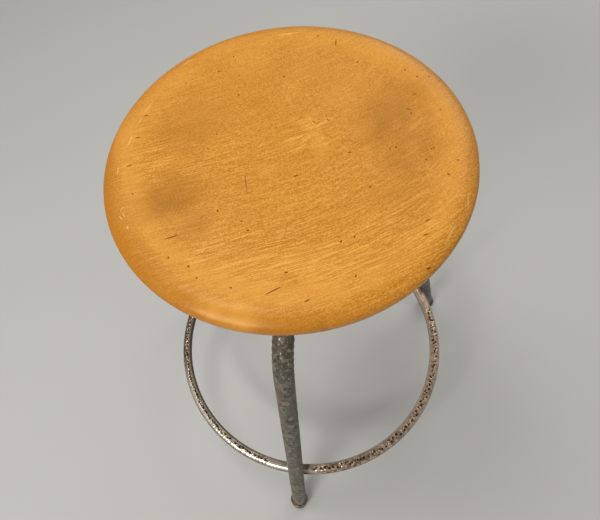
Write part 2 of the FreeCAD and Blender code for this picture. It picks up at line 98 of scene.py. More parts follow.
GRAIN_ANGLE = 22
EDGE_CHIP = (48.53, -165.01)
DASHES = [
    (14, -26), (61, 1), (127, -71), (125, -85), (127, -114), (33, -149), (-145, 14), (-142, 42),
]
SPOTS = [
    (-88, -116), (-69, -123), (-60, -134), (-30, -141), (14, -124), (70, -125), (68, -88), (57, -93),
    (146, -24), (154, -9), (133, 5), (97, 5), (128, -7), (116, 47), (102, 7), (135, 6), (111, 100),
    (133, 91), (122, 91), (142, 49), (65, 114), (23, 151), (-8, 96), (-47, 86), (-52, 72), (-55, 98),
    (-77, 104), (-109, 87), (-64, 124), (80, -37), (-30, -76), (-23, -85), (-53, -66), (-135, -52),
]

# Strokes: two ends and half the width, and for a scratch its strength

SCRATCHES = [
    (-34, -22, -28, -49, 0.5, 0.7), (-97, -99, -82, -92, 0.8, 0.8), (-3, -147, 13, -136, 0.8, 0.8),
    (42, 148, 42, 134, 0.7, 0.7), (8, -100, 12, -70, 0.3, 0.35), (-70, 30, -64, 12, 0.3, 0.3),
    (24, 40, 28, 35, 0.7, 0.8), (37, 42, 42, 37, 0.8, 0.7), (117, 68, 122, 71, 0.7, 0.7),
    (-149, -23, -142, -18, 0.8, 0.8), (111, 53, 116, 51, 0.9, 0.8),
]
WORN_STROKES = [
    (-146, 43, -139, 60, 1.6), (-151, 18, -152, 2, 1.4), (-24, 152, 6, 157, 1.6), (-142, -73, -140, -66, 0.9),
    (-140, -72, -135, -79, 1.0), (-142, -76, -137, -82, 0.8), (-132, -86, -129, -92, 1.2),
    (161, -40, 160, -62, 1.0), (150, -72, 140, -92, 1.0), (-120, 108, -104, 122, 1.2),
    (-148, 30, -146, 40, 1.0), (-156, -20, -154, -34, 1.0),
]
PALE_STREAKS = [
    (15, 75, 24, 59, 1.5), (23, 62, 27, 43, 1.8), (32, 57, 37, 40, 1.4), (20, 42, 35, 24, 1.8),
    (35, 28, 34, 7, 2.4), (-5, 98, -7, 71, 2.4), (-7, 76, 9, 49, 2.4), (101, 8, 127, 42, 2.0),
    (108, 9, 117, 19, 1.2), (129, 84, 141, 61, 1.8), (135, 56, 148, 60, 1.3), (60, 22, 82, 30, 1.6),
    (-146, -29, -129, -22, 1.2), (-143, -42, -124, -34, 1.3), (-136, -56, -118, -49, 1.3),
]

# Places: middle, two half widths and turn in degrees, and for all but the swirl the strength

SWIRL_PLACE = (-96, -62, 30, 24, 20)
STAINS = [
    (100, 44, 66, 42, 60, 0.60), (114, 4, 54, 40, 75, 0.50), (97, 40, 28, 20, 30, 0.44),
    (121, 60, 26, 18, 35, 0.40), (95, -34, 34, 24, -10, 0.26), (116, -62, 40, 20, 40, 0.26),
    (-98, -52, 50, 36, 25, 0.62), (-98, 30, 56, 42, 30, 0.34), (-76, -84, 34, 20, 20, 0.34),
]
# Places bleached by use; the last, on the front-left rim, is a painted highlight
PALE_PLACES = [
    (15, -122, 130, 32, 8, 0.36), (29, 20, 14, 40, 20, 0.45), (0, 72, 13, 32, -20, 0.35),
    (49, 71, 28, 20, 30, 0.30), (70, 27, 20, 14, 0, 0.25), (-11, -18, 18, 12, 0, 0.30),
    (8, 120, 16, 30, 0, 0.20), (-42, 123, 34, 26, 20, 0.42), (-84, 41, 24, 16, 20, 0.34),
    (-159, 16, 16, 50, 0, 0.40), (-30, -160, 40, 15, -12, 0.75),
]
LINED_PLACES = [
    (-55, -10, 75, 34, 15, 0.5), (22, 24, 32, 24, 30, 1.0), (0, -118, 165, 50, 12, 1.0),
    (95, -95, 90, 44, 35, 0.9), (-130, -10, 34, 70, 0, 0.7), (80, -20, 60, 40, 40, 0.2),
    (130, -10, 40, 60, 60, 0.3), (0, -50, 140, 40, 15, 0.3),
]


# Settings that a user would change

def length(name, description, default):
    return bpy.props.FloatProperty(name=name, description=description, default=default, unit="LENGTH",
                                   subtype="DISTANCE", precision=4, min=0)


def angle(name, description, default):
    return bpy.props.FloatProperty(name=name, description=description, default=math.radians(default),
                                   unit="ROTATION", subtype="ANGLE")


def colour(name, description, default):
    return bpy.props.FloatVectorProperty(name=name, description=description, default=default, size=3,
                                         subtype="COLOR", min=0, max=1)


def count(name, description, default):
    return bpy.props.IntProperty(name=name, description=description, default=default, min=3)


def power(name, description, default):
    return bpy.props.FloatProperty(name=name, description=description, default=default, unit="POWER", min=0)


class SeatSettings(bpy.types.PropertyGroup):
    """Shape and wood of the dished seat."""
    diameter: length("Diameter", "Seat, across", SEAT_HIGH.x - SEAT_LOW.x)
    widest: length("Widest Point", "Widest point of the edge above the underside", 18 * MM)
    small_round: length("Small Round", "Round at the widest point", 8 * MM)
    small_turn: angle("Small Turn", "Angle that the small round turns", 50)
    large_round: length("Large Round", "Round from the small one up to the crest", 22 * MM)
    crest_round: length("Crest Round", "Round over the crest", 70 * MM)
    wall_slope: angle("Wall Slope", "Steepest slope of the dish", 8)
    floor_slope: angle("Floor Slope", "Slope where the wall meets the floor", 1.5)
    wall_width: length("Wall Width", "Width of the dish's wall", 25 * MM)
    segments: count("Segments", "Steps round the seat", 480)
    wood: colour("Wood", "Lacquered beech, general colour", (0.635, 0.265, 0.035))
    grain: colour("Grain", "Darker lines of the grain", (0.47, 0.170, 0.009))
    line: colour("Pale Lines", "Palest lines of the grain", (0.87, 0.445, 0.085))
    edge: colour("Edge", "Darker lacquer down the edge", (0.42, 0.150, 0.008))
    pale: colour("Pale Grain", "Lighter lines of the grain", (0.78, 0.360, 0.060))
    stain: colour("Stain", "Darkened places", (0.33, 0.125, 0.007))
    bare: colour("Bare Wood", "Wood rubbed through the lacquer", (0.88, 0.520, 0.180))
    mark: colour("Mark", "Dirt in dents and scratches", (0.170, 0.042, 0.002))


class FrameSettings(bpy.types.PropertyGroup):
    """Shape and finish of legs, foot ring and feet."""
    leg_diameter: length("Leg", "Leg tube, outside diameter", 24 * MM)
    leg_foot: length("Leg Foot", "From the axis to a leg's axis at the floor", 268 * MM)
    leg_splay: angle("Leg Splay", "Lean of a leg's straight part", 12.7)
    bend_height: length("Bend Height", "Height where the bend begins", 464 * MM)
    bend_radius: length("Bend Radius", "Radius of the bend, at the tube's axis", 72 * MM)
    top_rise: angle("Top Rise", "Rise of the top run towards the hub", 8)
    ring_bar: length("Ring Bar", "Foot ring, diameter of the bar", RING_HIGH.z - RING_LOW.z)
    ring_segments: count("Ring Steps", "Steps round the foot ring", 1920)
    notch_pitch: length("Notch Pitch", "Mean distance between worn notches", 6 * MM)
    notch_depth: length("Notch Depth", "Depth of the deepest notches", 1.3 * MM)
    smooth_reach: length("Smooth Reach", "Unworn ring on each side of a leg", 44 * MM)
    cap_wall: length("Cap Wall", "Foot cap, wall round the tube", 2.3 * MM)
    cap_dome: length("Cap Dome", "Foot cap, radius of its underside", 16 * MM)
    cap_floor: length("Cap Floor", "Foot cap, metal under the tube", 7 * MM)
    cap_depth: length("Cap Depth", "Foot cap, depth of its socket", 12 * MM)
    cap_flat: length("Cap Flat", "Depth worn off the dome", 0.8 * MM)
    paint: colour("Paint", "Worn grey paint on the legs", (0.099, 0.090, 0.066))
    pale_paint: colour("Pale Paint", "Paler flakes of the paint", (0.275, 0.240, 0.187))
    brown_paint: colour("Brown Paint", "Browned places of the paint", (0.118, 0.086, 0.060))
    dark_paint: colour("Dark Paint", "Darker flecks of the paint", (0.033, 0.027, 0.018))
    grime: colour("Grime", "Brown grime on the paint", (0.055, 0.038, 0.025))
    bare: colour("Bare Metal", "Metal where the paint is gone", (0.62, 0.57, 0.49))
    rust: colour("Rust", "Rust in notches and at welds", (0.070, 0.036, 0.018))
    ring_paint: colour("Ring Paint", "Beige grey skin of the foot ring", (0.420, 0.355, 0.280))
    copper: colour("Copper", "Worn face of the foot ring", (0.68, 0.53, 0.39))


class ScrewSettings(bpy.types.PropertyGroup):
    """Screw spindle with its hub and stop."""
    pitch: length("Pitch", "Rise of the thread in one turn", 8 * MM)
    thread_depth: length("Thread Depth", "From crest to root", 1.8 * MM)
    thread_steps: count("Thread Steps", "Steps in one turn of the thread", 48)
    spindle_diameter: length("Spindle", "Outside diameter of the thread", 30 * MM)
    neck_diameter: length("Neck", "Neck below the shoulder", 16 * MM)
    bush_diameter: length("Bush", "Threaded bush, outside diameter", 38 * MM)
    flange_bore: length("Flange Bore", "Hole in the flange, round the spindle's spigot", 19.6 * MM)
    steel: colour("Steel", "Oiled steel of the spindle", (0.24, 0.225, 0.205))
    bright: colour("Bright Steel", "Plated screws, nut and washer", (0.48, 0.46, 0.42))
    brass: colour("Brass", "Tarnished brass of the bush", (0.42, 0.285, 0.11))


class StageSettings(bpy.types.PropertyGroup):
    """Floor, light and camera."""
    floor: colour("Floor", "Plain pale floor", (0.54, 0.54, 0.53))
    floor_size: length("Floor Size", "Side of the floor", 40.0)
    sky: bpy.props.FloatProperty(name="Sky", description="Strength of the light from all round",
                                 default=0.30, min=0)
    key: power("Key Light", "Main lamp", 33.0)
    fill: power("Fill Light", "Second lamp", 16.0)
    front: power("Front Light", "Small lamp in front", 13.0)
    back: power("Back Light", "Lamp behind the stool", 18.0)
    lens: bpy.props.FloatProperty(name="Lens", description="Focal length", default=31.2,
                                  subtype="DISTANCE_CAMERA", min=1)


# Shapes

def section_point(bm, across, up):
    """First point of a half section in the XZ plane."""
    return bm.verts.new((across, 0, up))


def section_circle(bm, across, up, radius, segments):
    matrix = Matrix.Translation((across, 0, up)) @ Matrix.Rotation(math.pi / 2, 4, "X")
    bmesh.ops.create_circle(bm, segments=segments, radius=radius, matrix=matrix)


def section_line(bm, point, across, up, steps=1):
    """Lead the section on in a straight line."""
    step = (Vector((across, 0, up)) - point.co) / steps
    grown = bmesh.ops.spin(bm, geom=[point], cent=(0, 0, 0), axis=(0, 0, 1), dvec=step, angle=0, steps=steps)
    return end_point(grown)


def section_arc(bm, point, across, up, turn, steps):
    """Lead the section on in an arc about a centre. A positive turn goes from +X to +Z."""
    grown = bmesh.ops.spin(bm, geom=[point], cent=(across, 0, up), axis=(0, -1, 0), angle=turn, steps=steps)
    return end_point(grown)


def end_point(grown):
    return [item for item in grown["geom_last"] if isinstance(item, bmesh.types.BMVert)][0]


def spin_closed(bm, steps, sectors=12):
    """Turn a section all the way round in equal sectors, and close its seams and poles."""
    about = {"cent": (0, 0, 0), "axis": (0, 0, 1)}
    section = bm.verts[:] + bm.edges[:]
    bmesh.ops.spin(bm, geom=section, angle=FULL_TURN / sectors, steps=steps // sectors, **about)
    bmesh.ops.spin(bm, geom=everything(bm), angle=FULL_TURN * (1 - 1 / sectors), steps=sectors - 1,
                   use_duplicate=True, **about)
    bmesh.ops.remove_doubles(bm, verts=bm.verts[:], dist=0.01 * MM)
    bmesh.ops.recalc_face_normals(bm, faces=bm.faces[:])


def everything(bm):
    return bm.verts[:] + bm.edges[:] + bm.faces[:]


def cut_level(bm, height, way):
    """Cut a mesh off at a height and close the cut. way is 1 to take what is above, -1 below."""
    cut = bmesh.ops.bisect_plane(bm, geom=everything(bm), plane_co=(0, 0, height), plane_no=(0, 0, way),
                                 clear_outer=True)
    edges = [item for item in cut["geom_cut"] if isinstance(item, bmesh.types.BMEdge)]
    bmesh.ops.edgeloop_fill(bm, edges=edges)
    bmesh.ops.recalc_face_normals(bm, faces=bm.faces[:])


def turned(corners, steps=96, bevel=0.0, closed=True):
    """Mesh turned from straight-sided corners (across, up), with its edges rounded."""
    bm = bmesh.new()
    first = point = section_point(bm, *corners[0])
    for corner in corners[1:]:
        point = section_line(bm, point, *corner)
    if closed:
        bm.edges.new((point, first))
    spin_closed(bm, steps)
    if bevel:
        round_edges(bm, bevel)
    return bm


def round_edges(bm, width):
    """Bevel every edge where the mesh turns by more than 25 degrees."""
    sharp = [edge for edge in bm.edges if edge.is_manifold and edge.calc_face_angle(0) > math.radians(25)]
    bmesh.ops.bevel(bm, geom=sharp, offset=width, offset_type="OFFSET", segments=2, profile=0.5,
                    affect="EDGES", clamp_overlap=True, material=-1)


def bead(centre, axis_matrix, major, minor, lumps, seed):
    """Ring of weld metal with the overlapping scales that a welder leaves."""
    bm = bmesh.new()
    section_circle(bm, major, 0, minor, 14)
    spin_closed(bm, 84)
    phase = random.Random(seed).uniform(0, FULL_TURN)
    for vert in bm.verts:
        around = math.atan2(vert.co.y, vert.co.x)
        middle = Vector((math.cos(around), math.sin(around), 0)) * major
        scale = (around * lumps / FULL_TURN + phase) % 1.0
        swell = 0.84 + 0.13 * scale + 0.06 * noise.noise(vert.co / (4 * MM) + Vector((seed, 0, 0)))
        vert.co = middle + (vert.co - middle) * min(swell, 1.0)
    bmesh.ops.transform(bm, matrix=Matrix.Translation(centre) @ axis_matrix, verts=bm.verts[:])
    return bm


def as_mesh(bm, name):
    mesh = bpy.data.meshes.new(name)
    bm.to_mesh(mesh)
    bm.free()
    return mesh


def new_object(name, data):
    made = bpy.data.objects.new(name, data)
    bpy.context.scene.collection.objects.link(made)
    return made


def make_piece(bm, name, body, node, material, sharp=35, turn=0):
    """Turn a mesh about the stool's axis, and make it the piece that stands for a node on its body."""
    turned_by = Matrix.Rotation(math.radians(turn), 3, "Z")
    bmesh.ops.rotate(bm, verts=bm.verts[:], cent=(0, 0, 0), matrix=turned_by)
    bmesh.ops.translate(bm, verts=bm.verts[:], vec=AXIS)
    mesh = as_mesh(bm, name)
    mesh.polygons.foreach_set("use_smooth", [True] * len(mesh.polygons))
    mesh.set_sharp_from_angle(angle=math.radians(sharp))
    mesh.materials.append(material)
    piece = new_object(name, mesh)
    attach(piece, body)
    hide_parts(node)


def paint_node(name, material):
    """Give a CAD node that stays in view its material."""
    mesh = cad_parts[name].data
    mesh.materials.clear()
    mesh.materials.append(material)


def clamped(value):
    return min(max(value, 0), 1)


def bump_window(value, low, high, fade):
    """1 between low and high, falling to 0 over fade on each side."""
    return clamped((value - low) / fade + 1) * clamped((high - value) / fade + 1)


# Node trees

class Value:
    """Output of a node. The signs +, -, * and ** add math nodes to its tree."""

    def __init__(self, socket):
        self.socket = socket

    def calc(self, operation, first, second):
        return add(self, "ShaderNodeMath", {0: first, 1: second}, operation=operation)

    def __add__(self, other):
        return self.calc("ADD", self, other)

    def __sub__(self, other):
        return self.calc("SUBTRACT", self, other)

    def __rsub__(self, other):
        return self.calc("SUBTRACT", other, self)

    def __mul__(self, other):
        return self.calc("MULTIPLY", self, other)

    def __pow__(self, other):
        return self.calc("POWER", self, other)


def connect(socket, given):
    """Link an input to a value, or set it to a number, a vector or a colour."""
    if isinstance(given, Value):
        socket.id_data.links.new(given.socket, socket)
    elif socket.type == "RGBA":
        socket.default_value = (*given, 1.0)
    else:
        socket.default_value = given


def add(source, kind, inputs, output=0, **settings):
    """Add a node to the tree that source is in, and give one of its outputs."""
    made = source.socket.id_data.nodes.new(kind)
    for name, setting in settings.items():
        setattr(made, name, setting)
    for name, given in inputs.items():
        connect(made.inputs[name], given)
    return Value(made.outputs[output])


def together(values):
    """Largest of several values."""
    result = values[0]
    for value in values[1:]:
        result = result.calc("MAXIMUM", result, value)
    return result


def ranged(value, low, high, to_low=0.0, to_high=1.0):
    """Value from one range to another, with soft ends."""
    inputs = {"Value": value, "From Min": low, "From Max": high, "To Min": to_low, "To Max": to_high}
    return add(value, "ShaderNodeMapRange", inputs, "Result", interpolation_type="SMOOTHSTEP")


def clouds(place, scale, detail=3.0, roughness=0.5, distortion=0.0, output="Fac"):
    inputs = {"Vector": place, "Scale": scale, "Detail": detail, "Roughness": roughness,
              "Distortion": distortion}
    return add(place, "ShaderNodeTexNoise", inputs, output)


def cells(place, scale, feature="F1"):
    return add(place, "ShaderNodeTexVoronoi", {"Vector": place, "Scale": scale}, "Distance", feature=feature)


def placed(place, location=(0, 0, 0), turn=0.0, scale=(1, 1, 1), kind="POINT"):
    inputs = {"Vector": place, "Location": location, "Rotation": (0, 0, math.radians(turn)), "Scale": scale}
    return add(place, "ShaderNodeMapping", inputs, vector_type=kind)


def axis_of(place, axis):
    """X, Y or Z of some coordinates."""
    return add(place, "ShaderNodeSeparateXYZ", {0: place}, axis)


def mixed(mask, first, second):
    """Colour between first and second."""
    return add(mask, "ShaderNodeMix", {0: mask, 6: first, 7: second}, 2, data_type="RGBA", clamp_result=True)


def bumped(height, distance, strength=1.0):
    return add(height, "ShaderNodeBump", {"Height": height, "Distance": distance, "Strength": strength})


def new_group(name, output, build, **numbers):
    """Node group with one output, from a Place and some numbers."""
    tree = bpy.data.node_groups.new(name, "ShaderNodeTree")
    tree.interface.new_socket("Place", in_out="INPUT", socket_type="NodeSocketVector")
    for label, default in numbers.items():
        socket = tree.interface.new_socket(label, in_out="INPUT", socket_type="NodeSocketFloat")
        socket.default_value = default
    tree.interface.new_socket(output, in_out="OUTPUT", socket_type="NodeSocketFloat")
    start = tree.nodes.new("NodeGroupInput")
    result = build(*[Value(start.outputs[label]) for label in ("Place", *numbers)])
    connect(tree.nodes.new("NodeGroupOutput").inputs[output], result)


def build_patches(place, scale, amount, softness):
    start = 1.0 - amount
    return ranged(clouds(place, scale, 6.0, 0.62, 0.4), start, start + softness)


def build_pits(place, scale, size):
    return ranged(cells(place, scale), 0.0, clouds(place, 90.0, 2.0) * size, 1.0, 0.0)


def build_hammered(place, scale):
    return cells(place, scale, "SMOOTH_F1") + clouds(place, scale * 3.1, 3.0, 0.6) * 0.45


def make_groups():
    new_group("worn_patches", "Mask", build_patches, Scale=60.0, Amount=0.5, Softness=0.1)
    new_group("small_pits", "Mask", build_pits, Scale=400.0, Size=0.3)
    new_group("hammered_skin", "Height", build_hammered, Scale=300.0)


def grouped(name, place, **numbers):
    """Output of one of the shared groups, with this material's own numbers."""
    return add(place, "ShaderNodeGroup", {"Place": place, **numbers}, node_tree=bpy.data.node_groups[name])


def patches(place, scale, amount, softness, shift=None):
    """Mask of worn patches. A shift keeps them apart from another layer's."""
    if shift:
        place = placed(place, shift)
    return grouped("worn_patches", place, Scale=scale, Amount=amount, Softness=softness)


def pits(place, scale, size):
    return grouped("small_pits", place, Scale=scale, Size=size)


def hammered(place, scale):
    return grouped("hammered_skin", place, Scale=scale)


class Finish:
    """A material under way: its object coordinates, its shader and its colour so far."""

    def __init__(self, name, colour):
        self.material = bpy.data.materials.new(name)
        self.material.use_nodes = True
        nodes = self.material.node_tree.nodes
        self.shader = nodes["Principled BSDF"]
        self.place = Value(nodes.new("ShaderNodeTexCoord").outputs["Object"])
        self.colour = colour

    def attribute(self, name):
        """Value that the mesh holds at its points."""
        return add(self.place, "ShaderNodeAttribute", {}, "Fac", attribute_name=name)

    def tint(self, mask, colour, amount=None):
        """Lay a colour over what is there, as far as the mask says."""
        self.colour = mixed(mask * amount if amount else mask, self.colour, colour)

    def done(self, **values):
        """Set or link sockets of the shader, named in lower case with underscores."""
        for name, given in {"base_color": self.colour, **values}.items():
            connect(self.shader.inputs[name.replace("_", " ").title().replace("Ior", "IOR")], given)
        return self.material


# Wood of the seat

def spot(place, x, y, half_length, half_width, turn):
    """1 in the middle of a soft ellipse on the seat, 0 at its edge."""
    inside = placed(place, (x * MM, y * MM, 0), turn, (half_length * MM, half_width * MM, 1), "TEXTURE")
    return add(place, "ShaderNodeTexGradient", {"Vector": inside}, "Fac", gradient_type="SPHERICAL")


def stroke(place, x0, y0, x1, y1, width):
    """Soft ellipse drawn out along a line between two points."""
    long = math.hypot(x1 - x0, y1 - y0) / 2
    turn = math.degrees(math.atan2(y1 - y0, x1 - x0))
    return spot(place, (x0 + x1) / 2, (y0 + y1) / 2, long * 1.1, width, turn)


def strayed(place, scale, reach):
    """Coordinates that stray by up to reach, to break up an outline."""
    wander = clouds(place, scale, output="Color")
    inputs = {0: wander, 1: (2 * reach,) * 3, 2: placed(place, (-reach,) * 3)}
    return add(place, "ShaderNodeVectorMath", inputs, operation="MULTIPLY_ADD")


def bent_grain(place):
    """Seat coordinates with X along the grain, which curves up towards the right."""
    along = placed(place, turn=-GRAIN_ANGLE)
    right = together([axis_of(along, "X") + 0.02, 0.0])
    wander = (clouds(place, 6.0, 2.0) - 0.5) * 0.016
    across = axis_of(along, "Y") - right * right * 1.15 + wander
    return add(place, "ShaderNodeCombineXYZ", {0: axis_of(along, "X"), 1: across, 2: axis_of(along, "Z")})


def drawn_out(grain, along, up, scale, detail, roughness=0.5, shift=(0, 0, 0)):
    """Noise drawn out along the grain."""
    return clouds(placed(grain, shift, scale=(along, 1, up)), scale, detail, roughness)


def lay_grain(made, place, settings):
    """Darker and paler lines of the grain, plainer in some places than in others."""
    grain = bent_grain(place)
    broad = drawn_out(grain, 0.35, 0.6, 26.0, 4.0, 0.55)
    bands = drawn_out(grain, 0.07, 0.5, 150.0, 3.0, 0.55)
    lines = drawn_out(grain, 0.045, 0.4, 1050.0, 1.0)
    mottle = drawn_out(grain, 0.55, 0.6, 1030.0, 2.0, 0.6)
    fleck = drawn_out(grain, 0.3, 0.5, 900.0, 2.0)
    fibres = drawn_out(grain, 0.05, 0.4, 620.0, 1.0, shift=(0.2, 0.1, 0))
    lined = together([spot(place, *oval) ** 0.6 * much for *oval, much in LINED_PLACES])
    strong = lined * 0.42 + 0.08
    grainy = lined * 0.40 + 0.58
    sparse = lined * 0.60 + 0.25
    made.tint(ranged(broad, 0.38, 0.66, 0.0, 0.32), settings.grain)
    made.tint(ranged(bands, 0.45, 0.75, 0.0, 0.18), settings.grain)
    made.tint(ranged(mottle, 0.50, 0.57) * grainy, settings.grain)
    made.tint(ranged(mottle, 0.50, 0.43) * grainy, settings.pale)
    made.tint(ranged(lines, 0.50, 0.58) * strong, settings.grain)
    made.tint(ranged(lines, 0.50, 0.42) * strong, settings.line)
    made.tint(ranged(fibres, 0.60, 0.68) * sparse, settings.line)
    made.tint(ranged(fibres, 0.37, 0.31) * sparse, settings.grain)
    made.tint(ranged(fleck, 0.56, 0.66, 0.0, 0.30), settings.stain)

    inputs = {"Vector": placed(place, (0.094, 0.062, 0), 0, (0.7, 1.0, 0.4)), "Scale": 125.0,
              "Distortion": 2.6, "Detail": 2.0, "Detail Scale": 1.5}
    swirl = add(place, "ShaderNodeTexWave", inputs, "Fac", wave_type="RINGS", rings_direction="Z")
    made.tint(swirl * ranged(spot(place, *SWIRL_PLACE), 0.0, 0.8), settings.stain, 0.30)
    streaked = together([ranged(stroke(place, *line), 0.0, 0.7) for line in PALE_STREAKS])
    made.tint(streaked, settings.pale, 0.34)
    return lines, mottle


def lay_shades(made, place, settings):
    """Paler crest, partly rubbed and partly a painted sheen; darker edge; places that use has bleached or
    stained, and a painted rim highlight.
    """
    flat = placed(place, scale=(1, 1, 0))
    toward = {0: flat, 1: (-0.66, -0.75, 0)}
    front_left = add(place, "ShaderNodeVectorMath", toward, "Value", operation="DOT_PRODUCT")
    radius = add(place, "ShaderNodeVectorMath", {0: flat}, "Value", operation="LENGTH")
    radius = radius + ranged(front_left, 0.04, 0.16, 0.0, 0.009)
    cloudy = ranged(clouds(place, 38.0, 4.0, 0.6), 0.3, 0.7, 0.45, 1.0)
    # Painted sheen along the crest, with rubbed lacquer: paler there, most towards the front-left, where the
    # key lamp stands
    crest = ranged(radius, 0.128, 0.150) * ranged(radius, 0.166, 0.154)
    made.tint(crest * (cloudy * ranged(front_left, 0.02, 0.14, 0.40, 0.75)), settings.pale)
    made.tint(ranged(radius, 0.155, 0.180) * ranged(front_left, 0.0, 0.15, 0.08, 0.74), settings.edge)
    # Darker towards the underside of the edge, most at the front-left
    low = ranged(axis_of(place, "Z"), -0.026, -0.007, 0.60, 0.0)
    made.tint(low * ranged(front_left, -0.02, 0.12, 0.3, 1.0), settings.stain)

    loose = strayed(place, 30.0, 0.016)
    # Pale places, the last of them a painted highlight on the rim, then stains
    for places, tint in ((PALE_PLACES, settings.pale), (STAINS, settings.stain)):
        shade = together([ranged(spot(loose, *oval), 0.0, 0.75) * much for *oval, much in places])
        made.tint(shade * cloudy, tint)
    return radius


def lay_marks(made, place, mottle, settings):
    """Strokes worn to bare wood, dirty scratches and dents, and specks."""
    worn = together([stroke(place, *line) for line in WORN_STROKES])
    made.tint(ranged(worn, 0.1, 0.6) * ranged(mottle, 0.35, 0.6, 0.15, 0.70), settings.bare)
    masks = [stroke(place, *line) * (much + 0.2) for *line, much in SCRATCHES]
    masks += [spot(place, x, y, 3.4, 0.9, GRAIN_ANGLE + 8 * math.sin(x)) for x, y in DASHES]
    masks += [spot(place, x, y, 1.6 + 0.5 * math.sin(y), 1.1, x) for x, y in SPOTS]
    marked = ranged(together(masks), 0.16, 0.48)
    made.tint(marked, settings.mark, 0.92)
    made.tint(pits(place, 130.0, 0.11), settings.stain, 0.5)
    return marked


def lacquered_beech(settings):
    """Old beech under amber lacquer."""
    made = Finish("lacquered_beech", settings.wood)
    place = placed(made.place, (-AXIS.x, -AXIS.y, -SEAT_HIGH.z))
    lines, mottle = lay_grain(made, place, settings)
    radius = lay_shades(made, place, settings)
    marked = lay_marks(made, place, mottle, settings)
    scuffed = patches(placed(place, scale=(1, 1, 3)), 70.0, 0.36, 0.06)
    surface = lines * 0.35 + mottle * 0.3 - marked * 1.4
    rough = ranged(clouds(place, 24.0, 5.0, 0.6), 0.3, 0.7, 0.30, 0.43) + together([marked, scuffed]) * 0.16
    dull = ranged(axis_of(place, "X"), -0.045, -0.080, 0.0, 0.16) * ranged(radius, 0.150, 0.165)
    return made.done(roughness=rough + dull, normal=bumped(surface, 0.25 * MM, 0.6), coat_weight=0.06,
                     coat_roughness=0.30, specular_ior_level=0.34, specular_tint=(1.0, 0.78, 0.48))


# Metals

def worn_paint(name, settings, chips=0.33):
    """Hammered grey paint, flaked and rubbed through in places, most of all near the floor."""
    made = Finish(name, settings.paint)
    place = made.place
    long_place = placed(place, scale=(1, 1, 0.55))
    patch = patches(long_place, 40.0, 0.52, 0.12)
    flaked = ranged(axis_of(place, "Z"), 0.10, 0.03, 0.495, 0.57)
    flake = patches(placed(place, (0.3, 0.1, 0), scale=(1, 1, 0.6)), 150.0, flaked, 0.06)
    dark = patches(place, 190.0, 0.45, 0.05, (0.9, 0.4, 0.2))
    grimy = patches(long_place, 24.0, 0.44, 0.16, (0.5, 0.8, 0.1))
    chip = patches(place, 260.0, made.attribute("crushed") * 0.05 + chips, 0.03, (0.7, 0.2, 0.4))
    made.tint(patch, settings.brown_paint, 0.9)
    made.tint(flake, settings.pale_paint, 0.6)
    made.tint(grimy, settings.grime, 0.6)
    made.tint(dark, settings.dark_paint, 0.7)
    made.tint(pits(place, 260.0, 0.35), settings.rust, 0.4)
    made.tint(chip, settings.bare)
    height = hammered(long_place, 330.0) - chip * 0.35 + flake * 0.4
    return made.done(roughness=ranged(dark, 0.0, 1.0, 0.42, 0.60), metallic=chip * 0.75 + 0.05,
                     normal=bumped(height, 0.5 * MM), specular_ior_level=0.32)


def worn_steel(settings):
    """Skin of the foot ring: beige grey near the legs, notched and rusty where feet rest."""
    made = Finish("worn_steel", settings.ring_paint)
    place = made.place
    worn, notch, burnt, under, rubbed = [made.attribute(name) for name in RING_LAYERS]
    grey = patches(place, 70.0, 0.55, 0.15)
    copper = mixed(patches(place, 200.0, 0.53, 0.06), settings.copper, (0.170, 0.112, 0.070))
    scorched = burnt * patches(place, 200.0, 0.62, 0.10, (0.6, 0.3, 0.2))
    flecks = patches(place, 420.0, 0.37, 0.03, (0.2, 0.5, 0.1)) * (worn * 0.8 + 0.2)
    across = axis_of(place, "X")
    made.tint(grey, (0.230, 0.195, 0.150))
    made.tint(worn, copper, 0.85)
    # Right end lighter: brighter worn metal with a painted highlight. Left end darker: pitted metal with
    # painted shade.
    made.tint(ranged(across, 0.05, 0.20, 0.0, 0.32), (0.92, 0.66, 0.47))
    made.tint(ranged(across, 0.05, -0.18, 0.0, 0.72), (0.100, 0.078, 0.055))
    # Painted shade: dark brown on the bar's underside and its outer and inner edges
    made.tint(under, (0.050, 0.038, 0.026), 0.75)
    made.tint(scorched, (0.085, 0.050, 0.030))
    # Polished band on the front-left, pale enough to be a painted highlight where the key lamp reflects
    made.tint(rubbed, (0.90, 0.84, 0.72), 0.8)
    made.tint(ranged(notch, 0.12, 0.38), (0.040, 0.021, 0.011))
    # Near-white flecks: bare metal, partly painted glints
    made.tint(flecks, (0.90, 0.80, 0.66))
    height = hammered(place, 420.0) - pits(place, 520.0, 0.5) * worn * 0.9
    height = height * (together([worn, burnt]) + 0.12)
    rough = ranged(grey, 0.0, 1.0, 0.25, 0.31) + ranged(together([notch, burnt]), 0.1, 0.5) * 0.28
    return made.done(roughness=rough, metallic=together([worn, rubbed]) * 0.36 + 0.42,
                     normal=bumped(height, 0.07 * MM))


def old_metal(name, main, second, settings, metallic, rough, rust, grooves=0.0):
    """Plain metal with tarnish, rust specks and turning marks."""
    made = Finish(name, main)
    place = made.place
    tarnish = patches(place, 85.0, 0.56, 0.2)
    rusty = patches(place, 190.0, rust, 0.06, (0.4, 0.1, 0.6))
    pitted = pits(place, 420.0, 0.35)
    made.tint(tarnish, second)
    made.tint(rusty, settings.rust, 0.8)
    made.tint(pitted, (0.03, 0.022, 0.016), 0.35)
    lines = clouds(placed(place, scale=(0.02, 0.02, 1)), 2600.0, 2.0)
    height = lines * grooves + (clouds(place, 520.0) - pitted * 0.6)
    return made.done(roughness=ranged(tarnish, 0.0, 1.0, *rough) + rusty * 0.3,
                     metallic=metallic - rusty * (metallic * 0.8), normal=bumped(height, 0.12 * MM))


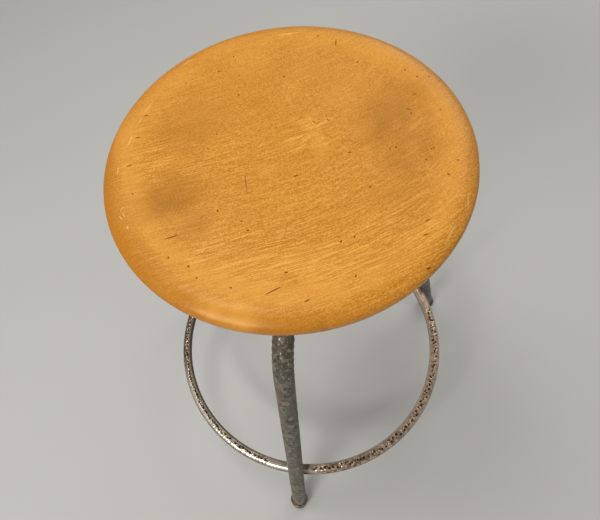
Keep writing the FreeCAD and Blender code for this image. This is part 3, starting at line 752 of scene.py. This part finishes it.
def foot_iron():
    """Dark iron of a foot cap, polished along its lip."""
    made = Finish("cap_iron", (0.060, 0.052, 0.042))
    place = made.place
    rubbed = made.attribute("lip") * ranged(clouds(place, 130.0), 0.40, 0.66, 0.0, 0.85)
    made.tint(patches(place, 170.0, 0.55, 0.1), (0.190, 0.100, 0.055))
    made.tint(rubbed, (0.40, 0.30, 0.20))
    return made.done(roughness=0.62 - rubbed * 0.28, metallic=rubbed * 0.45 + 0.35,
                     normal=bumped(hammered(place, 500.0), 0.2 * MM))


def plain_floor(settings):
    made = Finish("studio_floor", settings.floor)
    made.tint(ranged(clouds(made.place, 3.0, 4.0, 0.6), 0.3, 0.7, 0.0, 0.12), (0.5, 0.5, 0.49))
    return made.done(roughness=0.7, normal=bumped(clouds(made.place, 420.0, 2.0), 0.2 * MM, 0.3))


# Pieces

def seat_section(bm, settings):
    """Half section of the seat, from its underside over the crest to the middle of the dish."""
    rim = settings.diameter / 2
    widest = SEAT_LOW.z + settings.widest
    small, large, crest = settings.small_round, settings.large_round, settings.crest_round
    point = section_point(bm, 0, SEAT_LOW.z)
    point = section_line(bm, point, rim - settings.widest, SEAT_LOW.z, 14)
    point = section_arc(bm, point, rim - settings.widest, widest, math.pi / 2, 18)
    point = section_arc(bm, point, rim - small, widest, settings.small_turn, 7)
    across = point.co.x - large * math.cos(settings.small_turn)
    up = point.co.z - large * math.sin(settings.small_turn)
    point = section_arc(bm, point, across, up, math.pi / 2 - settings.small_turn, 9)
    point = section_arc(bm, point, point.co.x, point.co.z - crest, settings.wall_slope, 6)
    reach = settings.wall_width / (math.sin(settings.wall_slope) - math.sin(settings.floor_slope))
    across = point.co.x - reach * math.sin(settings.wall_slope)
    up = point.co.z + reach * math.cos(settings.wall_slope)
    point = section_arc(bm, point, across, up, settings.floor_slope - settings.wall_slope, 12)
    up = point.co.z + point.co.x / math.tan(settings.floor_slope)
    point = section_arc(bm, point, 0, up, -settings.floor_slope, 30)
    point.co.x = 0


def seat_dents(rim):
    """Random shallow dents, and those that the photograph shows: (middle, size, depth)."""
    rng = random.Random(11)
    dents = [(rng.uniform(0, FULL_TURN), rng.uniform(0.3, 0.98) * rim, rng.uniform(5, 11) * MM,
              rng.uniform(0.12, 0.32) * MM) for _ in range(34)]
    dents = [(Vector((r * math.cos(a), r * math.sin(a))), size, deep) for a, r, size, deep in dents]
    dents += [(Vector(middle) * MM, 3.2 * MM, 0.28 * MM) for middle in SPOTS]
    return dents + [(Vector(EDGE_CHIP) * MM, 5 * MM, 1.1 * MM)]


def make_seat(settings):
    bm = bmesh.new()
    seat_section(bm, settings)
    spin_closed(bm, settings.segments)
    dents = seat_dents(settings.diameter / 2)
    lowest_wear = SEAT_LOW.z + settings.widest - 6 * MM
    wear = 0.10 * MM
    for vert in bm.verts:
        if vert.co.z < lowest_wear:
            continue
        flat = vert.co.xy
        sunk = wear * (1 + noise.noise(vert.co * 14))
        for middle, size, deep in dents:
            away = (flat - middle).length / size
            if away < 2.4:
                sunk += deep * math.exp(-away * away)
        vert.co -= vert.normal * sunk
    make_piece(bm, "seat_disc", "seat", "seat", lacquered_beech(settings), sharp=60)


def leg_points(settings):
    """Places along a leg in its own plane: its cap's dome, its foot, and its bend from start to end."""
    lean, rise = settings.leg_splay, settings.top_rise
    dome = settings.cap_dome - settings.cap_flat
    dome_at = Vector((settings.leg_foot - math.tan(lean) * dome, 0, dome))
    along = Vector((-math.sin(lean), 0, math.cos(lean)))
    foot = dome_at + along * (settings.cap_floor - settings.cap_dome)
    bend = Vector((settings.leg_foot - math.tan(lean) * settings.bend_height, 0, settings.bend_height))
    centre = bend - Vector((math.cos(lean), 0, math.sin(lean))) * settings.bend_radius
    bend_end = centre + Vector((math.sin(rise), 0, math.cos(rise))) * settings.bend_radius
    return SimpleNamespace(dome_at=dome_at, foot=foot, bend=bend, centre=centre, bend_end=bend_end)


def plain_leg(settings, leg, turn):
    """Smooth tube of a leg, closed at both ends."""
    top_along = Vector((-math.cos(settings.top_rise), 0, math.sin(settings.top_rise)))
    into_hub = 3.6 * MM
    top_end = leg.bend_end + top_along * ((leg.bend_end.x - HUB_RADIUS + into_hub) / -top_along.x)
    bm = bmesh.new()
    matrix = Matrix.Translation(leg.foot) @ Matrix.Rotation(-settings.leg_splay, 4, "Y")
    bmesh.ops.create_circle(bm, segments=48, radius=settings.leg_diameter / 2, matrix=matrix)
    grown = {"geom_last": bm.verts[:] + bm.edges[:]}
    stretches = ((leg.bend - leg.foot, 0, 110), (Vector(), turn, 60), (top_end - leg.bend_end, 0, 14))
    for way, bent, steps in stretches:
        grown = bmesh.ops.spin(bm, geom=grown["geom_last"], cent=leg.centre, axis=(0, -1, 0),
                               dvec=way / steps, angle=bent, steps=steps)
    bmesh.ops.holes_fill(bm, edges=bm.edges[:], sides=0)
    bmesh.ops.recalc_face_normals(bm, faces=bm.faces[:])
    bm.normal_update()
    return bm


def make_legs(settings):
    leg = leg_points(settings)
    turn = math.pi / 2 - settings.leg_splay - settings.top_rise
    ripple_pitch = 8 * MM
    plain = plain_leg(settings, leg, turn)
    paint = worn_paint("painted_steel", settings)
    for index, (name, azimuth) in enumerate(LEGS.items()):
        bm = plain.copy()
        crushed_layer = bm.verts.layers.float.new("crushed")
        shift = Vector((index * 3.1, index * 1.7, 0))
        for vert in bm.verts:
            away = vert.co - leg.centre
            swing = math.degrees(math.atan2(away.z, away.x) - settings.leg_splay)
            in_bend = bump_window(swing, 6, math.degrees(turn) - 14, 9) if away.x > 0 else 0
            outward = vert.normal.dot(away.normalized())
            slant = math.atan2(vert.normal.y, outward)
            turns = math.radians(swing) * settings.bend_radius / ripple_pitch
            ripple = math.sin(turns * FULL_TURN + slant * 1.6)
            crumple = noise.noise(vert.co * 95 + shift)
            dent = noise.noise(vert.co * 26 + shift)
            move = in_bend * ((0.41 - 0.25 * outward) * ripple * 0.8 + 0.35 * crumple) + 0.18 * dent
            vert.co += vert.normal * (move - 0.15) * MM
            vert[crushed_layer] = in_bend
        make_piece(bm, f"leg_tube_{name}", "frame", f"leg_{name}", paint, 60, azimuth)
    plain.free()


def to_right(around):
    """1 at the right end of the foot ring, 0 at the left."""
    return 0.5 + 0.5 * math.cos(around)


def ring_notches(settings, radius):
    """Slanting cuts and round pits: (place along the ring, depth, width, slant, side, reach)."""
    rng = random.Random(5)
    notches = []
    along = 0.0
    while along < FULL_TURN * radius:
        right = to_right(along / radius)
        notches.append((along, rng.uniform(0.15, 0.4) + 0.4 * right, rng.uniform(0.5, 0.9) * MM,
                        rng.uniform(-0.9, 0.9), rng.uniform(28, 70) + 50 * right, rng.uniform(18, 32)))
        notches.append((along + rng.uniform(1, 4) * MM, rng.uniform(0.6, 1.0), rng.uniform(1.3, 2.2) * MM,
                        0.0, rng.uniform(88, 104) + right * rng.uniform(-30, 18), rng.uniform(9, 15)))
        along += settings.notch_pitch * rng.uniform(0.6, 1.45)
    return notches


def notch_at(notches, along, side):
    """How deep the deepest of some notches is at one place, from 0 to 1."""
    deep = 0.0
    for centre, depth, width, slant, peak, reach in notches:
        off = along - centre - slant * (side - peak) / 45 * 1.4 * MM
        hold = math.exp(-((side - peak) / reach) ** 2)
        deep = max(deep, depth * hold * math.exp(-(off / width) ** 2))
    return deep


def make_ring(settings):
    """Foot ring. Its side angle is 0 outward, 90 on top and 180 inward."""
    bar = settings.ring_bar / 2
    radius = (RING_HIGH.x - RING_LOW.x) / 2 - bar
    stretch, ragged, fade = 6 * MM, 9 * MM, 10 * MM
    nearby = {}
    for notch in ring_notches(settings, radius):
        for place in (-1, 0, 1):
            nearby.setdefault(int(notch[0] / stretch) + place, []).append(notch)

    bm = bmesh.new()
    section_circle(bm, radius, RING_HEIGHT, bar, 48)
    spin_closed(bm, settings.ring_segments)
    layers = [bm.verts.layers.float.new(name) for name in RING_LAYERS]
    for vert in bm.verts:
        around = math.atan2(vert.co.y, vert.co.x) % FULL_TURN
        along = around * radius
        right = to_right(around)
        middle = Vector((math.cos(around) * radius, math.sin(around) * radius, RING_HEIGHT))
        out = vert.co - middle
        side = math.degrees(math.atan2(out.z, out.xy.dot(middle.xy.normalized())))
        offsets = [((around - math.radians(azimuth) + math.pi) % FULL_TURN - math.pi) * radius
                   for azimuth in LEGS.values()]
        nearest = min(offsets, key=abs)
        to_leg = abs(nearest) + ragged * noise.noise(middle * 60)
        smooth, burnt_reach = (0.55, 30 * MM) if nearest > 0 else (1.0, 0.0)
        zone = clamped((to_leg - smooth * settings.smooth_reach) / fade)
        worn = zone * bump_window(side, 30 * right - 12, 108 + 24 * right, 14)
        notch = zone * notch_at(nearby.get(int(along / stretch), []), along, side)
        burnt = clamped((burnt_reach - to_leg) / (12 * MM))
        # Where the painted shade goes: the underside and the outer and inner edges of the bar
        under = 1 - bump_window(side % 360, 8 + 26 * right, 130 + 25 * right, 12)
        # Rubbed band on the front-left where the key lamp's highlight falls: polish with a painted highlight
        rubbed = bump_window(side % 360, 44, 76, 9) * bump_window(math.degrees(around), 208, 268, 14)
        for layer, value in zip(layers, (worn, notch, burnt, under, rubbed)):
            vert[layer] = value
        lumps = 0.12 * noise.noise(vert.co * 240) + 0.10 * noise.noise(vert.co * 60)
        sink = (0.20 + lumps + 0.28 * worn) * MM + notch * settings.notch_depth
        vert.co = middle + out * (1 - sink / bar)
    make_piece(bm, "ring_bar", "frame", "foot_ring", worn_steel(settings), sharp=60)


def make_welds(settings):
    weld = old_metal("weld_metal", (0.20, 0.130, 0.085), (0.115, 0.072, 0.045), settings, metallic=0.55,
                     rough=(0.42, 0.6), rust=0.5)
    bend_end = leg_points(settings).bend_end
    top = bend_end.z + (bend_end.x - HUB_RADIUS) * math.tan(settings.top_rise)
    hub_matrix = Matrix.Rotation(settings.top_rise - math.pi / 2, 4, "Y")
    face = settings.leg_foot - math.tan(settings.leg_splay) * RING_HEIGHT
    face -= settings.leg_diameter / 2 / math.cos(settings.leg_splay)
    ring_matrix = Matrix.Rotation(-math.pi / 2, 4, "Y")
    for index, (name, azimuth) in enumerate(LEGS.items()):
        bm = bead((HUB_RADIUS, 0, top), hub_matrix, settings.leg_diameter / 2, 3.5 * MM, lumps=19,
                  seed=21 + index)
        make_piece(bm, f"hub_bead_{name}", "frame", f"leg_weld_{name}", weld, 60, azimuth)
        bm = bead((face, 0, RING_HEIGHT), ring_matrix, 8.5 * MM, 3 * MM, lumps=13, seed=31 + index)
        make_piece(bm, f"ring_bead_{name}", "frame", f"ring_weld_{name}", weld, 60, azimuth)
    sunk_in = 0.6 * MM
    bm = bead((0, 0, PLATE_LOW.z - sunk_in), Matrix.Identity(4), 15.6 * MM, 3.3 * MM, lumps=22, seed=41)
    make_piece(bm, "flange_bead", "seat", "spindle_weld", weld, sharp=60)


def make_caps(settings):
    """Foot caps: a dome with a socket and a rolled lip, its underside worn flat by the floor."""
    iron = foot_iron()
    inner = settings.leg_diameter / 2
    outer = inner + settings.cap_wall
    dome = settings.cap_dome
    rim = settings.cap_floor - dome + settings.cap_depth
    floor = settings.cap_floor - dome
    corners = ((outer - 0.4 * MM, rim - 4.5 * MM, 4), (outer + 0.7 * MM, rim - 3.0 * MM, 2),
               (outer + 0.9 * MM, rim - 0.8 * MM, 2), (outer + 0.1 * MM, rim, 2),
               (inner + 0.4 * MM, rim, 2), (inner - 0.3 * MM, rim - 1.2 * MM, 1),
               (inner - 0.3 * MM, floor, 2), (0, floor, 2))
    matrix = Matrix.Translation(leg_points(settings).dome_at) @ Matrix.Rotation(-settings.leg_splay, 4, "Y")
    for name, azimuth in LEGS.items():
        bm = bmesh.new()
        point = section_arc(bm, section_point(bm, 0, -dome), 0, 0, math.asin(outer / dome), 14)
        for across, up, steps in corners:
            point = section_line(bm, point, across, up, steps)
        spin_closed(bm, 72)
        lip_layer = bm.verts.layers.float.new("lip")
        for vert in bm.verts:
            if vert.co.xy.length > inner:
                vert[lip_layer] = float(vert.co.z > rim - 3.4 * MM)
                vert.co -= vert.normal * 0.25 * MM * (1 + noise.noise(vert.co * 130))
        bmesh.ops.transform(bm, matrix=matrix, verts=bm.verts[:])
        cut_level(bm, 0, -1)
        make_piece(bm, f"foot_cup_{name}", "frame", f"foot_cap_{name}", iron, turn=azimuth)


def make_hub(settings, metals):
    inner = settings.bush_diameter / 2
    outer = HUB_RADIUS
    bm = turned([(inner, HUB_LOW.z), (outer - 1.5 * MM, HUB_LOW.z), (outer, HUB_LOW.z + 1.5 * MM),
                 (outer, HUB_HIGH.z), (inner, HUB_HIGH.z)], bevel=0.5 * MM)
    paint = worn_paint("hub_paint", metals, chips=0.38)
    make_piece(bm, "hub_barrel", "frame", "hub", paint)

    bore = settings.spindle_diameter / 2 + 0.05 * MM
    bm = turned([(bore, BUSH_LOW.z + 1 * MM), (bore + 1 * MM, BUSH_LOW.z), (inner, BUSH_LOW.z),
                 (inner, HUB_HIGH.z), (outer, HUB_HIGH.z), (outer, BUSH_HIGH.z),
                 (bore + 1.2 * MM, BUSH_HIGH.z), (bore, BUSH_HIGH.z - 1.2 * MM)], bevel=0.35 * MM)
    brass = old_metal("bush_brass", settings.brass, (0.20, 0.125, 0.050), metals, metallic=0.85,
                      rough=(0.28, 0.42), rust=0.36, grooves=0.5)
    make_piece(bm, "bush_ring", "frame", "threaded_bush", brass)


def make_spindle(settings, metals):
    """Threaded spindle: one turn's profile led up a helix, over a plain core and neck."""
    outer = settings.spindle_diameter / 2
    root = outer - settings.thread_depth
    neck = settings.neck_diameter / 2
    shoulder = WASHER_HIGH.z + 0.3 * MM
    pitch = settings.pitch
    turns = math.ceil((PLATE_LOW.z - shoulder) / pitch) + 3
    start = shoulder - 2 * pitch
    bm = bmesh.new()
    point = section_point(bm, root, start)
    for across, rise in ((root, 0.36), (outer, 0.44), (outer, 0.92), (root, 1.0)):
        point = section_line(bm, point, across, start + rise * pitch)
    bmesh.ops.spin(bm, geom=bm.verts[:] + bm.edges[:], cent=(0, 0, 0), axis=(0, 0, 1),
                   dvec=(0, 0, pitch / settings.thread_steps), angle=FULL_TURN, steps=settings.thread_steps)
    bmesh.ops.spin(bm, geom=everything(bm), cent=(0, 0, 0), axis=(0, 0, 1), dvec=(0, 0, pitch), angle=0,
                   steps=turns - 1, use_duplicate=True)
    bmesh.ops.remove_doubles(bm, verts=bm.verts[:], dist=0.02 * MM)
    cut_level(bm, shoulder, -1)
    cut_level(bm, PLATE_LOW.z, 1)
    threaded = as_mesh(bm, "thread")

    bm = turned([(0, SPINDLE_LOW.z), (neck - 1 * MM, SPINDLE_LOW.z), (neck, SPINDLE_LOW.z + 1 * MM),
                 (neck, shoulder + 4 * MM), (0, shoulder + 4 * MM)], closed=False, bevel=0.3 * MM)
    bm.from_mesh(threaded)
    bpy.data.meshes.remove(threaded)
    steel = old_metal("spindle_steel", settings.steel, (0.10, 0.085, 0.065), metals, metallic=0.8,
                      rough=(0.26, 0.42), rust=0.40)
    make_piece(bm, "screw_spindle", "seat", "spindle", steel)


def flat_ring(bore, low, high, **shape):
    """Flat ring as large as a node's box, with a bore."""
    outer = (high.x - low.x) / 2
    return turned([(bore, low.z), (outer, low.z), (outer, high.z), (bore, high.z)], **shape)


def make_flange(settings, metals):
    bm = flat_ring(settings.flange_bore / 2, PLATE_LOW, PLATE_HIGH, steps=120, bevel=0.8 * MM)
    paint = worn_paint("flange_paint", metals, chips=0.36)
    make_piece(bm, "flange_plate", "seat", "seat_plate", paint)


def make_stop(settings, metals):
    bright = old_metal("bright_steel", settings.bright, (0.26, 0.235, 0.20), metals, metallic=0.9,
                       rough=(0.24, 0.4), rust=0.38)
    for name in ("seat_screws", "split_pin", "stop_nut"):
        paint_node(name, bright)
    bm = flat_ring(settings.neck_diameter / 2 + 0.3 * MM, WASHER_LOW, WASHER_HIGH, bevel=0.5 * MM)
    make_piece(bm, "washer_disc", "lift", "stop_washer", bright)


def make_floor(settings):
    bm = bmesh.new()
    bmesh.ops.create_grid(bm, x_segments=1, y_segments=1, size=settings.floor_size / 2)
    mesh = as_mesh(bm, "studio_floor")
    mesh.materials.append(plain_floor(settings))
    floor = new_object("studio_floor", mesh)


def make_lights(settings):
    world = bpy.data.worlds.new("studio")
    bpy.context.scene.world = world
    world.use_nodes = True
    sky = world.node_tree.nodes["Background"]
    sky.inputs["Color"].default_value = (1.0, 0.985, 0.96, 1)
    sky.inputs["Strength"].default_value = settings.sky
    for name, (way, distance, size) in LAMPS.items():
        lamp = bpy.data.lights.new(f"{name}_light", "AREA")
        lamp.energy = getattr(settings, name)
        lamp.size = size
        lamp.color = (1.0, 0.97, 0.92)
        holder = new_object(f"{name}_light", lamp)
        holder.location = LIT_POINT + Vector(way).normalized() * distance
        holder.rotation_euler = (LIT_POINT - holder.location).to_track_quat("-Z", "Y").to_euler()


def make_camera(settings):
    camera = bpy.data.cameras.new("camera")
    camera.lens = settings.lens
    camera.sensor_width = 36
    camera.shift_x = CAMERA_SHIFT
    eye = new_object("camera", camera)
    down = Vector((0, 0, -math.sin(CAMERA_PITCH)))
    forward = CAMERA_WAY.normalized() * math.cos(CAMERA_PITCH) + down
    facing = forward.to_track_quat("-Z", "Y").to_matrix().to_4x4()
    eye.matrix_world = Matrix.Translation(CAMERA_AT) @ facing @ Matrix.Rotation(CAMERA_ROLL, 4, "Z")
    bpy.context.scene.camera = eye


def make_stage(settings):
    bpy.context.scene.view_settings.view_transform = "Standard"
    make_floor(settings)
    make_lights(settings)
    make_camera(settings)


# Operators, one for each piece or group of like pieces

class STOOL_OT_seat(bpy.types.Operator):
    """Turn the dished beech seat."""
    bl_idname = "stool.seat"
    bl_label = "Seat"

    def execute(self, context):
        make_seat(context.scene.stool_seat)
        return {"FINISHED"}


class STOOL_OT_legs(bpy.types.Operator):
    """Bend the three leg tubes."""
    bl_idname = "stool.legs"
    bl_label = "Legs"

    def execute(self, context):
        make_legs(context.scene.stool_frame)
        return {"FINISHED"}


class STOOL_OT_foot_ring(bpy.types.Operator):
    """Bend the foot ring and wear it."""
    bl_idname = "stool.foot_ring"
    bl_label = "Foot Ring"

    def execute(self, context):
        make_ring(context.scene.stool_frame)
        return {"FINISHED"}


class STOOL_OT_welds(bpy.types.Operator):
    """Lay the weld beads."""
    bl_idname = "stool.welds"
    bl_label = "Welds"

    def execute(self, context):
        make_welds(context.scene.stool_frame)
        return {"FINISHED"}


class STOOL_OT_foot_caps(bpy.types.Operator):
    """Turn the iron caps under the legs."""
    bl_idname = "stool.foot_caps"
    bl_label = "Foot Caps"

    def execute(self, context):
        make_caps(context.scene.stool_frame)
        return {"FINISHED"}


class STOOL_OT_hub(bpy.types.Operator):
    """Turn the hub and its threaded bush."""
    bl_idname = "stool.hub"
    bl_label = "Hub and Bush"

    def execute(self, context):
        make_hub(context.scene.stool_screw, context.scene.stool_frame)
        return {"FINISHED"}


class STOOL_OT_spindle(bpy.types.Operator):
    """Cut the screw spindle."""
    bl_idname = "stool.spindle"
    bl_label = "Screw Spindle"

    def execute(self, context):
        make_spindle(context.scene.stool_screw, context.scene.stool_frame)
        return {"FINISHED"}


class STOOL_OT_flange(bpy.types.Operator):
    """Turn the flange under the seat."""
    bl_idname = "stool.flange"
    bl_label = "Flange"

    def execute(self, context):
        make_flange(context.scene.stool_screw, context.scene.stool_frame)
        return {"FINISHED"}


class STOOL_OT_stop(bpy.types.Operator):
    """Finish the screws, washer, nut and split pin."""
    bl_idname = "stool.stop"
    bl_label = "Fasteners and Stop"

    def execute(self, context):
        make_stop(context.scene.stool_screw, context.scene.stool_frame)
        return {"FINISHED"}


class STOOL_OT_stage(bpy.types.Operator):
    """Set up floor, light and camera."""
    bl_idname = "stool.stage"
    bl_label = "Stage"

    def execute(self, context):
        make_stage(context.scene.stool_stage)
        return {"FINISHED"}


OPERATORS = (STOOL_OT_seat, STOOL_OT_legs, STOOL_OT_foot_ring, STOOL_OT_welds, STOOL_OT_foot_caps,
             STOOL_OT_hub, STOOL_OT_spindle, STOOL_OT_flange, STOOL_OT_stop, STOOL_OT_stage)
SETTINGS = {"stool_seat": SeatSettings, "stool_frame": FrameSettings, "stool_screw": ScrewSettings,
            "stool_stage": StageSettings}


class STOOL_PT_pieces(bpy.types.Panel):
    """Lists the pieces of the stool."""
    bl_idname = "STOOL_PT_pieces"
    bl_label = "Machinist Stool"
    bl_space_type = "VIEW_3D"
    bl_region_type = "UI"
    bl_category = "Stool"

    def draw(self, context):
        for operator in OPERATORS:
            self.layout.operator(operator.bl_idname)


def register():
    for item in (*SETTINGS.values(), *OPERATORS, STOOL_PT_pieces):
        bpy.utils.register_class(item)
    for name, group in SETTINGS.items():
        setattr(bpy.types.Scene, name, bpy.props.PointerProperty(type=group))


def unregister():
    for name in SETTINGS:
        delattr(bpy.types.Scene, name)
    for item in reversed((*SETTINGS.values(), *OPERATORS, STOOL_PT_pieces)):
        bpy.utils.unregister_class(item)


def main():
    register()
    make_groups()
    bpy.ops.stool.seat()
    bpy.ops.stool.legs()
    bpy.ops.stool.foot_ring()
    bpy.ops.stool.welds()
    bpy.ops.stool.foot_caps()
    bpy.ops.stool.hub()
    bpy.ops.stool.spindle()
    bpy.ops.stool.flange()
    bpy.ops.stool.stop()
    bpy.ops.stool.stage()
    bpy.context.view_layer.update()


if __name__ == "__main__":
    main()
